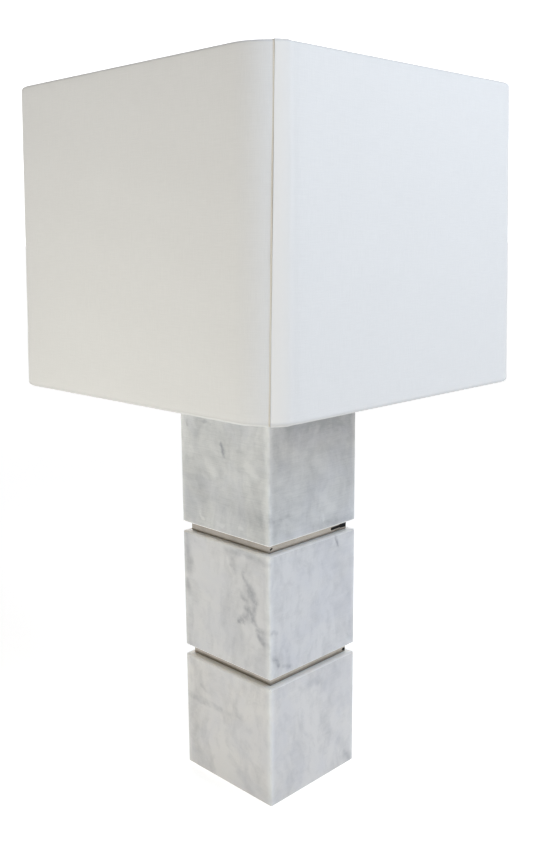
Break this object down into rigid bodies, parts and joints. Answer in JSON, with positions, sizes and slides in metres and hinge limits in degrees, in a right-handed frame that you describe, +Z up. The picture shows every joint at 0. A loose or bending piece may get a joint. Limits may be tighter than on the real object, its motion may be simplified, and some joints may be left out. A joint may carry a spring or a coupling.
{
  "type": "table lamp",
  "caption": "Table lamp on a column of stacked marble cubes with thin metal spacers, under a rounded square fabric shade on a harp.",
  "frame": {"origin": "centre of the underside of the felt pad, on the surface that the lamp stands on", "axes": "+Z up along the lamp's axis; +Y to the back, where the cord leaves; +X to the right, along the harp"},
  "size_m": [0.3618, 0.3618, 0.7161],
  "materials": {
    "felt": "matte",
    "marble": "satin",
    "spacer_metal": "polished",
    "bushing": "matte",
    "pipe_steel": "satin",
    "plated_steel": "satin",
    "nickel": "polished",
    "harp_metal": "polished",
    "brass": "satin",
    "liner_card": "matte",
    "switch_resin": "satin",
    "screw_metal": "satin",
    "knob_black": "gloss",
    "contact_solder": "satin",
    "bulb_black_glass": "gloss",
    "bulb_metal": "satin",
    "bulb_frosted_glass": "satin",
    "shade_liner": "matte",
    "shade_fabric": "matte",
    "frame_wire": "satin"
  },
  "bodies": {
    "base": {"felt_pad": "felt", "lower_block": "marble", "lower_spacer": "spacer_metal", "middle_block": "marble", "upper_spacer": "spacer_metal", "upper_block": "marble", "cord_bushing": "bushing", "lamp_pipe": "pipe_steel", "bottom_washer": "plated_steel", "bottom_lockwasher": "plated_steel", "bottom_nut": "plated_steel", "check_ring": "nickel", "neck": "nickel", "harp_saddle": "harp_metal", "saddle_locknut": "plated_steel", "harp_wire": "harp_metal", "harp_crown": "brass", "socket_cap": "brass", "socket_shell": "brass", "socket_liner": "liner_card", "switch_body": "switch_resin", "terminal_screws": "brass", "screw_shell": "screw_metal", "centre_contact": "brass"},
    "shade": {"shade_liner": "shade_liner", "shade_fabric": "shade_fabric", "seam_lap": "shade_fabric", "top_hem": "shade_fabric", "bottom_hem": "shade_fabric", "top_ring": "frame_wire", "bottom_ring": "frame_wire", "shade_hub": "frame_wire", "left_arm": "frame_wire", "right_arm": "frame_wire", "front_arm": "frame_wire", "back_arm": "frame_wire"},
    "finial": {"finial": "nickel"},
    "bulb": {"bulb_contact": "contact_solder", "bulb_insulator": "bulb_black_glass", "bulb_base": "bulb_metal", "bulb_glass": "bulb_frosted_glass"},
    "switch": {"switch_shaft": "brass", "switch_knob": "knob_black"},
    "left_ferrule": {"left_ferrule": "harp_metal"},
    "right_ferrule": {"right_ferrule": "harp_metal"}
  },
  "joints": [
    {"name": "shade_turn", "type": "hinge", "parent": "base", "child": "shade", "pos_m": [0, 0, 0.6848], "axis": [0, 0, 1], "continuous": true},
    {"name": "switch_turn", "type": "hinge", "parent": "base", "child": "switch", "pos_m": [0, -0.0125, 0.4488], "axis": [0, -1, 0], "continuous": true},
    {"name": "finial_lift", "type": "slide", "parent": "base", "child": "finial", "axis": [0, 0, 1], "range_m": [0, 0.03]},
    {"name": "bulb_lift", "type": "slide", "parent": "base", "child": "bulb", "axis": [0, 0, 1], "range_m": [0, 0.03]},
    {"name": "left_ferrule_lift", "type": "slide", "parent": "base", "child": "left_ferrule", "axis": [0, 0, 1], "range_m": [0, 0.014]},
    {"name": "right_ferrule_lift", "type": "slide", "parent": "base", "child": "right_ferrule", "axis": [0, 0, 1], "range_m": [0, 0.014]}
  ]
}
